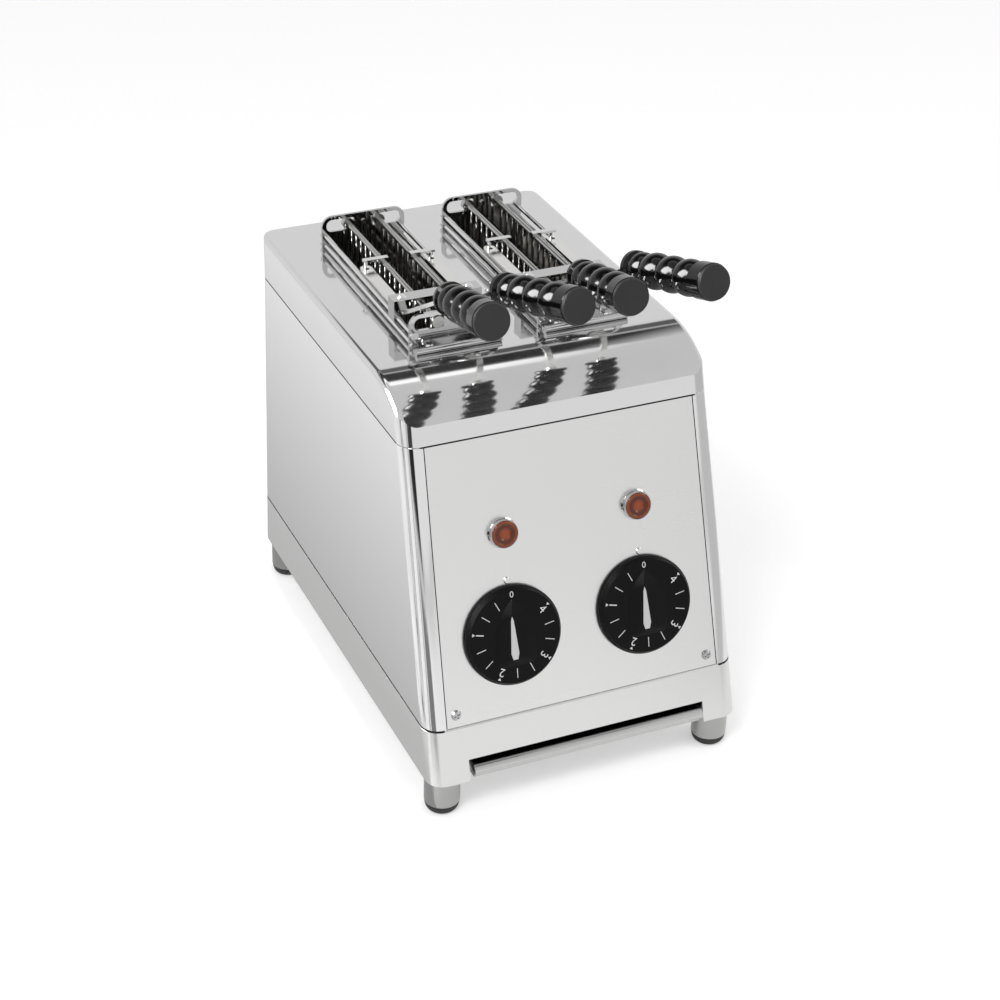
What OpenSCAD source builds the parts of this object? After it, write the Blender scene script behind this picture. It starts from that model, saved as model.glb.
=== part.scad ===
// Two-slot tong toaster for sandwiches, with two lift-out wire tongs
// Axes: +X right, +Y back, +Z up; z = 0 is the worktop; millimetres

/* [Housing] */
// Width across the sides at the upper seam
top_w = 200; // [190:1:220]
// Depth of the base along its lower edge
base_d = 315.7; // [308:0.1:330]
// Height of the lower edge of the base above the worktop
base_z = 25.1; // [22:0.1:32]
// Height of the base band
base_h = 34.4; // [31:0.1:42]
// Height of the side wrap between the two seams
wrap_h = 167.9; // [160:0.1:185]
// Height of the top cover above the upper seam
cover_h = 29; // [27:0.1:34]
// Outward lean of each side, in degrees
flare = 1.24; // [0.6:0.02:1.8]
// Backward lean of the front, in degrees
rake = 16.2; // [14:0.1:17]
// Radius of the upright corners
corner_r = 11; // [9:0.5:13]
// Radius of the curved nose of the cover
nose_r = 65.5; // [58:0.5:75]
// Height of the straight strip between the upper seam and the nose
strip_h = 11.3; // [10:0.1:13]
// Radius of the upper side edges of the cover
edge_r = 4; // [3:0.5:5]
// Sheet thickness of the wrap and the cover
sheet = 1.5; // [1:0.1:1.8]
// Thickness of the front wall that the panel is let into
front_wall = 3; // [2.8:0.1:4]
// Sheet thickness of the base
base_t = 2; // [1.5:0.1:2.4]
// Bevel along the seams
seam = 0.7; // [0.4:0.1:0.9]
// Width of the ledge inside the top of the base
ledge_w = 14; // [12:0.5:17]

/* [Front panel] */
// Width of the corner flange beside the panel
flange_w = 13.1; // [12:0.1:15]
// Thickness of the panel
panel_t = 1.5; // [1.2:0.1:2]
// Gap round the panel
panel_gap = 0.6; // [0.3:0.1:0.8]
// Width of the lip behind the edge of the panel
lip_w = 10; // [9:0.5:12]
// Distance of knobs and lamps from the middle, as a share of the width
control_share = 0.219; // [0.2:0.001:0.235]
// Height of the knob axis above the lower edge of the panel
knob_v = 50.8; // [46:0.1:56]
// Height of the lamps above the lower edge of the panel
lamp_v = 114.3; // [108:0.1:122]
// Height of the index dots above the lower edge of the panel
dot_v = 84.7; // [84:0.1:90]
// Radius of an index dot
dot_r = 2.2; // [1.5:0.1:2.6]
// Inset of the panel screws from the side of the panel
screw_in = 6.2; // [5.5:0.1:7]
// Height of the panel screws above the lower edge of the panel
screw_v = 8.5; // [7:0.1:10]
// Radius of a panel screw head
screw_head_r = 3.3; // [2.8:0.1:3.6]
// Radius of a panel screw shank
screw_r = 1.5; // [1.2:0.1:1.8]

/* [Knobs and lamps] */
// Radius of the knob skirt at the panel
knob_r = 31; // [29:0.5:32]
// Radius of the knob face
knob_face_r = 28.5; // [26:0.5:29]
// Height of the knob face above the panel
knob_h = 5.5; // [5:0.5:8]
// Height of the knob grip above its face
grip_bar_h = 3.5; // [3:0.5:7]
// Radius of the timer shaft
shaft_r = 3; // [2.5:0.1:3.5]
// Width of a timer case
timer_w = 44; // [38:1:48]
// Depth of a timer case
timer_d = 30; // [26:1:36]
// Width of the sloped foot of a lamp bezel
bezel_foot = 0.8; // [0.5:0.1:1.6]
// Radius of a lamp lens
lens_r = 8.2; // [7:0.1:8.6]
// Height of a lamp lens above its seat in the bezel
lens_h = 3.4; // [3:0.1:6]

/* [Base fittings] */
// Width of the tray opening in the base, as a share of the width
notch_share = 0.791; // [0.75:0.001:0.82]
// Height of the tray opening
notch_h = 13.9; // [13:0.1:16]
// Radius of the rolled tray lip
lip_r = 3.3; // [2.5:0.1:3.6]
// How far the tray lip stands in front of the base
lip_over = 2; // [1:0.1:3]
// Height of the tray walls
tray_h = 9; // [7:0.5:9.5]
// Side gap between tray and opening
tray_side = 2.6; // [1.5:0.1:4]
// Inset of the feet from the sides
foot_in_x = 12.7; // [12:0.1:13.5]
// Inset of the feet from front and back
foot_in_y = 15.1; // [13:0.1:20]
// Radius of a foot sleeve
foot_r = 11.1; // [9:0.1:11.4]
// Height of the rubber below the sleeve
pad_h = 6.5; // [5:0.5:9]
// Reach of the cord gland behind the back
gland_out = 12; // [8:0.5:16]
// Radius of the cord gland body
gland_r = 8; // [7:0.5:9]
// Sideways place of the cord gland, as a share of the width
gland_share = 0.3; // [0.15:0.01:0.35]
// Height of the cord gland above the lower seam
gland_v = 30; // [20:1:60]

/* [Heating chamber] */
// Distance of each slot from the middle, as a share of the width
slot_share = 0.21; // [0.205:0.001:0.215]
// Width of a slot in the deck
slot_w = 50; // [48:0.5:52]
// Radius of a heater tube
tube_r = 5; // [4:0.5:5.5]
// Upright spacing of the heater tubes
tube_pitch = 30; // [26:1:34]
// Depth of the top heater tube below the deck
tube_top = 25; // [22:1:30]
// Distance of the outer heater tubes from the slot edge
tube_side = 13; // [11:0.5:14]
// Thickness of the bulkheads
bulk_t = 1.5; // [1.2:0.1:2]
// Radius of a guard rod
guard_r = 1; // [0.8:0.1:1.3]

/* [Tong frame] */
// Front face of the rear end plate, measured from the middle of the depth
rear_plate_y = 112; // [108:0.5:113]
// Length between the end plates
frame_len = 150; // [146:0.5:152]
// Thickness of the end plates
plate_t = 2; // [1.5:0.1:2.5]
// Half width of the end plates
plate_hw = 28.4; // [28:0.1:29.5]
// Height of the end plates above the deck
plate_top = 22; // [21:0.5:24]
// Corner radius of the end plates
plate_r = 7; // [5:0.5:8]
// Width of the rim round the end plate windows
plate_rim = 2.9; // [2.5:0.1:3.4]
// Depth of the end plate legs below the deck
leg_d = 112; // [110:1:118]
// Half width of the end plate legs
leg_hw = 22; // [21.5:0.1:23]
// Sideways place of the side rails
rail_x = 26; // [25.8:0.1:26.3]
// Radius of the side rails
rail_r = 1.6; // [1.2:0.1:1.7]
// Height of the lower side rail above the deck
rail_low = 2.6; // [2.4:0.1:3]
// Height of the upper side rail above the deck
rail_high = 9.2; // [8.4:0.1:9.3]
// Reach of the front foot of the tong
toe_len = 10.5; // [10:0.5:13]
// Radius of the rolled edge of the front foot
toe_roll_r = 2.1; // [1.8:0.1:2.3]

/* [Tong jaws] */
// Distance of a closed jaw rod from the tong middle
jaw_x = 10.4; // [10:0.1:11]
// Height of the jaw rod above the deck
jaw_h = 15.4; // [15.2:0.1:15.8]
// Depth of the lower jaw rod below the deck
jaw_low = 104; // [100:1:106]
// Radius of the jaw rods
jaw_rod_r = 1.8; // [1.4:0.1:1.9]
// Radius of the bosses that run in the windows
boss_r = 3.9; // [3.6:0.1:4]
// Radius of the comb wires
wire_r = 0.9; // [0.7:0.1:1.1]
// Number of comb wires on a jaw
wire_n = 17; // [13:2:17]
// Distance of the first and the last comb wire from the end plates
wire_end = 7; // [6:0.5:9]
// Length of the rest hooks at the foot of a jaw
hook_len = 6; // [4:0.5:7]

/* [Tong handles] */
// Sideways place of the arms
arm_x = 21.8; // [21.5:0.1:22]
// Height of the underside of the arms above the deck
arm_h = 11.2; // [11:0.1:11.3]
// Width of the arms
arm_w = 7.4; // [6.5:0.1:7.5]
// Thickness of the arms
arm_t = 1.8; // [1.5:0.1:1.9]
// Distance of the pivots behind the front end plate
pivot_back = 29.5; // [28:0.5:31]
// Radius of the pivot pins
pivot_r = 2; // [1.6:0.1:2.2]
// Height of the top of the bridge above the deck
bridge_h = 20.3; // [19.8:0.1:20.8]
// Thickness of the bridge
bridge_t = 1.8; // [1.5:0.1:2]
// Sideways place of the grip roots
root_x = 17; // [16.8:0.1:17.6]
// Distance of the grip roots in front of the front end plate
root_fwd = 33.3; // [31:0.1:35]
// Height of the grip roots above the deck
root_h = 46.8; // [45:0.1:49]
// Upward pitch of the grips, in degrees
grip_pitch = 16.6; // [14:0.1:19]
// Sideways splay of each grip, in degrees
grip_splay = 6.4; // [6:0.1:7.5]
// Length of a grip without its cap
grip_len = 83; // [76:1:88]
// Largest radius of a grip
grip_r = 11; // [10:0.1:11]
// Radius of the flange at the root of a grip
grip_flange_r = 10.2; // [9.5:0.1:10.3]
// Radius of the grip between its bulges
grip_waist_r = 8.3; // [7.5:0.1:9]
// Thickness of a grip cap
cap_t = 2; // [1.5:0.1:3]
// Wire radius of the return springs
spring_wire_r = 0.4; // [0.3:0.05:0.45]

/* [Hidden] */
$fn = 48;
slice = 0.02;
over = 1;
seat = 0.05;
run_gap = 0.05;
slip_gap = 0.1;

z_base = base_z;
z_low = z_base + base_h;
z_up = z_low + wrap_h;
z_deck = z_up + cover_h;
total_d = base_d + gland_out + lip_over;
back_y = total_d/2 - gland_out;
front_y = back_y - base_d;
function half_w(z) = top_w/2 + max(0, z_up - z)*tan(flare);
function front_at(z) = front_y + (z - z_base)*tan(rake);

panel_len = wrap_h/cos(rake);
panel_foot = panel_gap + panel_t*tan(rake);
control_x = control_share*top_w;
gland_x = gland_share*top_w;
back_in = corner_r + 8;
back_lap = 6;
rivet_in = corner_r + 5;
rivet_r = 1.5;
rivet_head = 0.9;
function panel_hw(v) = half_w(z_low + v*cos(rake)) - flange_w;
screw_x = panel_hw(screw_v) - screw_in;

foot_x = half_w(z_base) - foot_in_x;
foot_front = front_y + foot_in_y;
foot_rear = back_y - foot_in_y;
foot_wall = 1.2;
pad_stem = 6;
pad_in = 0.3;
notch_w = notch_share*top_w;
tray_hw = notch_w/2 - tray_side;
tray_t = 1;
tray_z = z_base + base_t + slip_gap;
tray_back = back_y - 34;
runner = 4;
notch_deep = 30;
lip_y = front_y - lip_over + lip_r;
lip_z = z_base + notch_h/2 + 0.5;

front_plate_y = rear_plate_y - frame_len - plate_t;
tong_x = slot_share*top_w;
slot_hw = slot_w/2;
slot_end = 3.5;
slot_front = front_plate_y - slot_end;
slot_back = rear_plate_y + plate_t + slot_end;
slot_r = 3;
bulk_gap = 4;
bulk_front = slot_front - bulk_gap - bulk_t;
bulk_rear = slot_back + bulk_gap;
bulk_clear = 0.6;
bulk_in_front = bulk_front + bulk_t;
bulk_in_rear = bulk_rear;
tube_bank_x = tong_x + slot_hw + tube_side;
tube_xs = [-tube_bank_x, 0, tube_bank_x];
tube_zs = [for (k = [0:2]) z_deck - tube_top - k*tube_pitch];
tube_cap_wall = 1.5;
tube_cap_flange = 3;
tube_cap_neck = 6;
refl_gap = 6;
refl_t = 0.8;
guard_x = slot_hw + 2;
guard_top = 20;
guard_pitch = 42;

window_in = jaw_x - boss_r - 0.2;
window_out = plate_hw - plate_rim;
window_r = 3.6;
window_in_r = 1.5;
window_gap = 0.15;
leg_rim = 2;
nut_r = rail_r + 0.9;
nut_t = 2.5;
wire_pitch = (frame_len - 2*wire_end)/(wire_n - 1);
wire_y0 = front_plate_y + plate_t + wire_end;
clip_y = wire_y0 + (floor(wire_n/2) + 1.5)*wire_pitch;
pivot_y = front_plate_y + pivot_back;
clip_arm = clip_y - pivot_y;
squeeze = 5;
jaw_travel = clip_arm*tan(squeeze);
arm_slot_r = 1.45;
clip_pin_r = 1.3;
clip_w = 4;
clip_t = 1.5;
clip_wall = 1.2;
clip_end = max(arm_h - 0.6, rail_high + rail_r + 0.25);
bend_y = pivot_y - 5.5;
root_y = front_plate_y - root_fwd;
tang_w = 4;
tang_t = 2.4;
core_r = 3;
core_len = 60;
grip_bulges = 3;
spring_turns = 2.75;

satin = [0.77, 0.77, 0.76];
bright = [0.86, 0.86, 0.87];
steel = [0.66, 0.66, 0.67];
black = [0.05, 0.05, 0.055];
amber = [0.72, 0.25, 0.08];
rubber = [0.06, 0.06, 0.06];
ceramic = [0.9, 0.88, 0.82];
quartz = [0.85, 0.8, 0.72];

// Four thin corner discs of the plan outline at one height, for a hull
module outline_at(z, inset, front_inset, r) {
    xr = half_w(z) - inset - r;
    for (s = [-1, 1]) {
        translate([s*xr, back_y - inset - r, z]) cylinder(r = r, h = slice);
        translate([s*xr, front_at(z) + front_inset + r, z]) cylinder(r = r, h = slice);
    }
}

// A band of the housing between two heights, with bevelled upper and lower edges
module band(z_a, z_b) {
    hull() {
        outline_at(z_a, seam, seam, corner_r);
        outline_at(z_a + seam, 0, 0, corner_r);
        outline_at(z_b - seam - slice, 0, 0, corner_r);
        outline_at(z_b - slice, seam, seam, corner_r);
    }
}

// The space inside a band
module band_core(z_a, z_b, wall, front) {
    hull() {
        outline_at(z_a, wall, front/cos(rake), corner_r - wall);
        outline_at(z_b - slice, wall, front/cos(rake), corner_r - wall);
    }
}

// Local frame of the leaning front: x right, y up the panel, z out of it
module on_front() {
    translate([0, front_at(z_low), z_low]) rotate([90 - rake, 0, 0]) children();
}

// Local frame of a tong: x from its middle, y as the housing, z from the deck
module on_tong(side) {
    translate([side*tong_x, 0, z_deck]) children();
}

// Left half as the mirror of the right half
module hand_of(hand) {
    if (hand < 0) mirror([1, 0, 0]) children();
    else children();
}

// A rod along Y
module rod_y(x, y_a, y_b, z, r) {
    translate([x, y_b, z]) rotate([90, 0, 0]) cylinder(r = r, h = y_b - y_a);
}

// A rod along X
module rod_x(x_a, x_b, y, z, r) {
    translate([x_a, y, z]) rotate([0, 90, 0]) cylinder(r = r, h = x_b - x_a);
}

// A block from its low corner to its high corner
module block(low, high) {
    translate(low) cube(high - low);
}

// Base band with its ledge, foot plates and tray runners
module base_frame() {
    color(satin) {
        difference() {
            band(z_base, z_low);
            band_core(z_base + base_t, z_low - base_t, base_t, base_t);
            block([-(top_w/2 - ledge_w), front_at(z_low) + ledge_w, z_low - base_t - over],
                [top_w/2 - ledge_w, back_y - ledge_w, z_low + over]);
            block([-(tray_hw - runner), front_y - over, z_base - over],
                [tray_hw - runner, tray_back + runner, z_base + base_t + slice]);
            block([-notch_w/2, front_y - over, z_base - over],
                [notch_w/2, front_y + notch_deep, z_base + base_t + slice]);
            block([-notch_w/2, front_y - over, z_base - over],
                [notch_w/2, front_at(z_low) + base_t, z_base + notch_h]);
        }
        for (s = [-1, 1])
            block([s*(tray_hw + tray_side) - base_t/2, front_y + notch_deep, z_base + base_t/2],
                [s*(tray_hw + tray_side) + base_t/2, tray_back, z_base + notch_h]);
    }
}

// Back panel outline, d in from the sides
module back_outline(d, over_z) {
    polygon([
        for (z = [z_low - over_z, z_up + over_z]) [-half_w(z) + d, z],
        for (z = [z_up + over_z, z_low - over_z]) [half_w(z) - d, z]]);
}

// Rivet places along both edges of the back panel
module at_rivets() {
    for (s = [-1, 1], k = [1, 3, 5]) let (z = z_low + k*wrap_h/6)
        translate([s*(half_w(z) - rivet_in), back_y, z]) rotate([-90, 0, 0]) children();
}

// Sides in one wrap, with flanges that turn the corners, a frame behind the panel and an open back
module body_wrap() {
    color(satin) difference() {
        band(z_low, z_up);
        band_core(z_low - over, z_up + over, sheet, front_wall);
        on_front() {
            translate([0, 0, -panel_t]) linear_extrude(panel_t + over) polygon([
                for (v = [-over, panel_len + over]) [-panel_hw(v) - panel_gap, v],
                for (v = [panel_len + over, -over]) [panel_hw(v) + panel_gap, v]]);
            translate([0, 0, -2*front_wall]) linear_extrude(2*front_wall + over) polygon([
                for (v = [lip_w, panel_len - lip_w]) [-panel_hw(v) + lip_w, v],
                for (v = [panel_len - lip_w, lip_w]) [panel_hw(v) - lip_w, v]]);
            for (s = [-1, 1]) translate([s*screw_x, screw_v, -2*front_wall])
                cylinder(r = screw_r + slip_gap, h = 3*front_wall);
        }
        translate([0, back_y + over, 0]) rotate([90, 0, 0]) linear_extrude(sheet + 2*over)
            back_outline(back_in, over);
        at_rivets() translate([0, 0, -2*sheet]) cylinder(r = rivet_r + run_gap, h = 3*sheet);
    }
}

// Back panel, lapped inside the flanges of the wrap and riveted to them, with a hole for the gland
module back_panel() {
    color(satin) {
        difference() {
            translate([0, back_y - sheet, 0]) rotate([90, 0, 0]) linear_extrude(sheet)
                back_outline(back_in - back_lap, 0);
            rod_y(gland_x, back_y - 3*sheet, back_y, z_low + gland_v, gland_r + slip_gap);
        }
        at_rivets() {
            translate([0, 0, -1.5*sheet]) cylinder(r = rivet_r, h = 1.5*sheet + rivet_head/2);
            cylinder(r1 = rivet_r + 1, r2 = rivet_r, h = rivet_head);
        }
    }
}

// Outer side profile of the cover, drawn in by d: deck, curved nose, fold and straight strip
nose_turn = acos(1 - (cover_h - strip_h)/nose_r);
nose_y = front_at(z_up + strip_h) + nose_r*sin(nose_turn);
nose_steps = 16;
function nose_end(d) = asin((nose_r*sin(nose_turn + rake) - d)/(nose_r - d)) - rake;
function cover_profile(d) = concat(
    [[back_y - d, z_up - edge_r], [back_y - d, z_deck - d]],
    [for (k = [0:nose_steps]) let (a = 90 + k*nose_end(d)/nose_steps)
        [nose_y + (nose_r - d)*cos(a), z_deck - nose_r + (nose_r - d)*sin(a)]],
    [[front_at(z_up - edge_r) + d/cos(rake), z_up - edge_r]]);

// The solid form of the cover, drawn in by d: profiles from side to side, smaller towards the sides
module cover_form(d) {
    in = max(edge_r - d, 0.5);
    cuts = [for (s = [-1, 1], k = [0:4]) let (a = (s < 0 ? 4 - k : k)*90/4)
        [s*(top_w/2 - d - in + in*sin(a)), d + in - in*cos(a)]];
    points = [for (c = cuts) for (q = cover_profile(c[1])) [c[0], q[0], q[1]]];
    n = nose_steps + 4;
    last = (len(cuts) - 1)*n;
    faces = concat(
        [[for (j = [0:n - 1]) j]],
        [[for (j = [n - 1:-1:0]) last + j]],
        [for (i = [0:len(cuts) - 2], j = [0:n - 1]) [i*n + j, (i + 1)*n + j, (i + 1)*n + (j + 1)%n]],
        [for (i = [0:len(cuts) - 2], j = [0:n - 1]) [i*n + j, (i + 1)*n + (j + 1)%n, i*n + (j + 1)%n]]);
    intersection() {
        polyhedron(points, faces);
        hull() {
            outline_at(z_up - edge_r/2, d, d/cos(rake), corner_r - d);
            outline_at(z_deck + over, d, d/cos(rake), corner_r - d);
        }
    }
}

// Deck slot outline
module slot_2d() {
    x = slot_hw - slot_r;
    polygon([for (c = [[1, 1, 0], [-1, 1, 90], [-1, -1, 180], [1, -1, 270]], k = [0:6])
        let (a = c[2] + 15*k) [c[0]*x + slot_r*cos(a),
            (c[1] > 0 ? slot_back - slot_r : slot_front + slot_r) + slot_r*sin(a)]]);
}

// Polished cover: deck with two slots, curved nose and a strip above the panel
module top_cover() {
    color(bright) difference() {
        cover_form(0);
        block([-top_w, front_y - over, z_up - 2*edge_r], [top_w, back_y + over, z_up]);
        cover_form(sheet);
        for (s = [-1, 1]) translate([s*tong_x, 0, z_deck - 2*edge_r])
            linear_extrude(3*edge_r) slot_2d();
    }
}

// Plain flat panel with holes for lamps, shafts and screws and two index dots
module front_panel() {
    color(satin) on_front() {
        difference() {
            translate([0, 0, -panel_t]) linear_extrude(panel_t) polygon([
                for (v = [panel_foot, panel_len - panel_gap]) [-panel_hw(v), v],
                for (v = [panel_len - panel_gap, panel_foot]) [panel_hw(v), v]]);
            for (s = [-1, 1]) {
                translate([s*control_x, lamp_v, -2*panel_t])
                    cylinder(r = lamp_tube_r + slip_gap, h = 3*panel_t);
                translate([s*control_x, knob_v, -2*panel_t])
                    cylinder(r = bush_r + slip_gap, h = 3*panel_t);
                translate([s*screw_x, screw_v, -2*panel_t])
                    cylinder(r = screw_r + slip_gap, h = 3*panel_t);
            }
        }
        for (s = [-1, 1]) translate([s*control_x, dot_v, -panel_t/2])
            cylinder(r1 = dot_r + 0.4, r2 = dot_r - 0.6, h = panel_t/2 + 0.9);
    }
}
lamp_tube_r = 6;
bush_r = 4.2;

// Two cross-head screws at the lower corners of the panel
module panel_screws() {
    head_h = 1.6;
    cross = 0.9;
    color(steel) on_front() for (s = [-1, 1]) translate([s*screw_x, screw_v, 0])
        difference() {
            union() {
                cylinder(r1 = screw_head_r, r2 = screw_head_r - 0.9, h = head_h);
                translate([0, 0, -panel_t - front_wall])
                    cylinder(r = screw_r, h = panel_t + front_wall + over/2);
            }
            for (a = [0, 90]) rotate([0, 0, a + 20])
                translate([-screw_head_r*0.6, -cross/2, head_h - cross])
                    cube([screw_head_r*1.2, cross, head_h]);
        }
}

// Chrome bezels: a sloped foot, a thin cup round the lens and a tube through the panel
bezel_h = 1.6;
bezel_rise = 0.5;
cup_wall = 0.4;
cup_r = lens_r + slip_gap + cup_wall;
cup_h = bezel_h + lens_h - 0.8;
lamp_stem_r = 4.8;
lamp_tail = 14;
module lamp_bezels() {
    color(bright) on_front() for (s = [-1, 1]) translate([s*control_x, lamp_v, 0])
        difference() {
            union() {
                cylinder(r1 = cup_r + bezel_foot, r2 = cup_r, h = bezel_rise);
                cylinder(r = cup_r, h = cup_h);
                translate([0, 0, -lamp_tail]) cylinder(r = lamp_tube_r, h = lamp_tail + bezel_h/2);
            }
            translate([0, 0, -lamp_tail + sheet]) cylinder(r = lamp_stem_r + run_gap, h = 2*lamp_tail);
            translate([0, 0, bezel_h]) cylinder(r = lens_r + slip_gap, h = lens_h);
        }
}

// Amber lenses in the cups of the bezels
module lamp_lenses() {
    step_r = 2.4;
    color(amber) on_front() for (s = [-1, 1]) translate([s*control_x, lamp_v, 0]) {
        rotate_extrude() polygon([[0, -lamp_tail/2], [lamp_stem_r, -lamp_tail/2], [lamp_stem_r, bezel_h],
            [lens_r, bezel_h], [lens_r, cup_h - 0.2], [lens_r - 1.4, bezel_h + lens_h],
            [step_r + 1.5, bezel_h + lens_h], [step_r, bezel_h + lens_h - 0.8],
            [0, bezel_h + lens_h - 0.8]]);
    }
}

// Knob: bevelled skirt with a leaf-shaped grip, its crest left of the axis, and a blind bore
knob_gap = 1;
knob_bore = knob_h + grip_bar_h/2;
crest_x = -knob_face_r*0.09;
module timer_knob(side) {
    tip = knob_face_r*0.84;
    waist = -knob_face_r*0.35;
    tail = -knob_face_r*0.64;
    foot_hw = knob_face_r*0.46;
    crest_hw = knob_face_r*0.11;
    color(black) on_front() translate([side*control_x, knob_v, 0]) difference() {
        union() {
            rotate_extrude() polygon([[0, knob_gap], [knob_r - 0.6, knob_gap], [knob_r, knob_gap + 0.6],
                [knob_r, knob_gap + 1.6], [knob_face_r + 0.6, knob_h - 0.2], [knob_face_r, knob_h],
                [0, knob_h]]);
            hull() {
                translate([0, 0, knob_h - 0.5]) linear_extrude(0.6) for (s = [-1, 1]) hand_of(s)
                    polygon(concat([[0, tail]],
                        [[foot_hw*0.75, tail], [foot_hw, tail*0.85]],
                        [for (k = [0:6]) [foot_hw*(1 - pow(k/6, 3)), waist + (tip - waist)*k/6]]));
                translate([crest_x, 0, knob_h + grip_bar_h - 0.5]) linear_extrude(0.5)
                    polygon([[0, tip*0.66], [crest_hw*0.5, tip*0.5], [crest_hw, tail*0.6],
                        [crest_hw*0.7, tail*0.75], [-crest_hw*0.7, tail*0.75], [-crest_hw, tail*0.6],
                        [-crest_hw*0.5, tip*0.5]]);
            }
        }
        cylinder(r = shaft_r + run_gap, h = knob_bore);
    }
}
module left_knob() timer_knob(-1);
module right_knob() timer_knob(1);

// Leaf-shaped metal inlay on the crest of a knob
module knob_inlay(side) {
    inlay_t = 0.4;
    tip = knob_face_r*0.5;
    tail = -knob_face_r*0.45;
    hw = knob_face_r*0.09;
    color(bright) on_front() translate([side*control_x + crest_x, knob_v, knob_h + grip_bar_h])
        linear_extrude(inlay_t) polygon([[0, tip], [hw*0.35, tip*0.8], [hw, tail*0.7], [hw*0.6, tail],
            [-hw*0.6, tail], [-hw, tail*0.7], [-hw*0.35, tip*0.8]]);
}
module left_inlay() knob_inlay(-1);
module right_inlay() knob_inlay(1);

// Timer shaft that turns with its knob
shaft_in = 16;
module timer_shaft(side) {
    color(steel) on_front() translate([side*control_x, knob_v, -panel_t - shaft_in])
        cylinder(r = shaft_r, h = panel_t + shaft_in + knob_bore - slip_gap);
}
module left_shaft() timer_shaft(-1);
module right_shaft() timer_shaft(1);

// Clockwork timer case behind the panel, with its bush in the panel
module timer_case(side) {
    bush_out = 0.4;
    color(steel) on_front() translate([side*control_x, knob_v, -panel_t]) difference() {
        union() {
            translate([-timer_w/2, -timer_w/2, -timer_d]) cube([timer_w, timer_w, timer_d]);
            translate([0, 0, -over]) cylinder(r = bush_r, h = panel_t + bush_out + over);
        }
        translate([0, 0, -shaft_in - slip_gap]) cylinder(r = shaft_r + run_gap, h = timer_d);
    }
}
module left_timer() timer_case(-1);
module right_timer() timer_case(1);

// Crumb tray with a rolled lip across its front
module crumb_tray() {
    color(satin) {
        difference() {
            block([-tray_hw, lip_y, tray_z], [tray_hw, tray_back, tray_z + tray_h]);
            block([-tray_hw + tray_t, lip_y + tray_t, tray_z + tray_t],
                [tray_hw - tray_t, tray_back - tray_t, tray_z + tray_h + over]);
        }
        rod_x(-tray_hw - tray_t/2, tray_hw + tray_t/2, lip_y, lip_z, lip_r);
    }
}

// Foot places
module at_feet() {
    for (s = [-1, 1], y = [foot_front, foot_rear]) translate([s*foot_x, y, 0]) children();
}

// Steel sleeves under the base
module foot_sleeves() {
    color(satin) at_feet() difference() {
        translate([0, 0, pad_h]) cylinder(r = foot_r, h = z_base - pad_h);
        translate([0, 0, pad_h - over])
            cylinder(r = foot_r - foot_wall, h = z_base - pad_h - foot_wall + over);
    }
}

// Rubber pads with rounded soles and stems inside the sleeves
module foot_pads() {
    sole = foot_r*0.62;
    side = foot_r - pad_in - sole;
    color(rubber) at_feet() rotate_extrude() polygon(concat([[0, 0]],
        [for (k = [0:6]) [sole + side*sin(15*k), (pad_h - 1)*(1 - cos(15*k))]],
        [[foot_r - pad_in, pad_h], [foot_r - foot_wall - slip_gap, pad_h],
            [foot_r - foot_wall - slip_gap, pad_h + pad_stem], [0, pad_h + pad_stem]]));
}

// Cable gland in the back panel, left without its cord
module cord_gland() {
    collar = 3;
    nut = 3;
    bore_r = gland_r/2;
    reach = gland_out + sheet;
    color(black) translate([gland_x, back_y - sheet, z_low + gland_v]) rotate([-90, 0, 0]) difference() {
        union() {
            cylinder(r = gland_r + collar, h = collar);
            cylinder(r1 = gland_r, r2 = gland_r - 1.5, h = reach);
            translate([0, 0, -sheet - nut]) cylinder(r = gland_r, h = sheet + nut + over);
            translate([0, 0, -sheet - nut]) cylinder(r = gland_r + collar, h = nut);
        }
        translate([0, 0, -sheet - nut - over]) cylinder(r = bore_r, h = reach + sheet + nut + 2*over);
    }
}

// Sheet bulkhead across the housing, with holes for the heater caps
module bulkhead(y) {
    top = z_deck - sheet;
    cut = edge_r + 1;
    in = sheet + bulk_clear;
    hole_r = tube_r + tube_cap_wall + slip_gap;
    color(steel) translate([0, y + bulk_t, 0]) rotate([90, 0, 0]) linear_extrude(bulk_t) difference() {
        polygon(concat(
            [for (z = [z_low, z_up, top - cut]) [half_w(z) - in, z]],
            [[half_w(top) - in - cut, top], [-half_w(top) + in + cut, top]],
            [for (z = [top - cut, z_up, z_low]) [-half_w(z) + in, z]]));
        for (x = tube_xs, z = tube_zs) translate([x, z]) circle(r = hole_r);
    }
}
module front_bulkhead() bulkhead(bulk_front);
module rear_bulkhead() bulkhead(bulk_rear);

// Quartz heater tubes in three banks
tube_in = tube_cap_flange/2;
module heater_tubes() {
    color(quartz) for (x = tube_xs, z = tube_zs)
        rod_y(x, bulk_front - tube_in, bulk_rear + bulk_t + tube_in, z, tube_r);
}

// Ceramic end caps of the heater tubes, seated in the bulkheads
module heater_caps() {
    color(ceramic) for (x = tube_xs, z = tube_zs, end = [-1, 1])
        translate([x, end > 0 ? bulk_rear + bulk_t : bulk_front, z]) rotate([-90*end, 0, 0]) difference() {
            union() {
                cylinder(r = tube_r + tube_cap_wall + 2, h = tube_cap_flange);
                translate([0, 0, -tube_cap_neck])
                    cylinder(r = tube_r + tube_cap_wall, h = tube_cap_neck + over);
            }
            translate([0, 0, -tube_cap_neck - over])
                cylinder(r = tube_r + run_gap, h = tube_cap_neck + over + tube_in);
        }
}

// Reflector sheets behind the outer heater banks
module reflectors() {
    refl_x = tube_bank_x + tube_r + refl_gap;
    color(bright) for (s = [-1, 1])
        block([s*refl_x - refl_t/2, bulk_in_front, tube_zs[2] - tube_pitch/2],
            [s*refl_x + refl_t/2, bulk_in_rear, tube_zs[0] + tube_pitch/2]);
}

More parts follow.
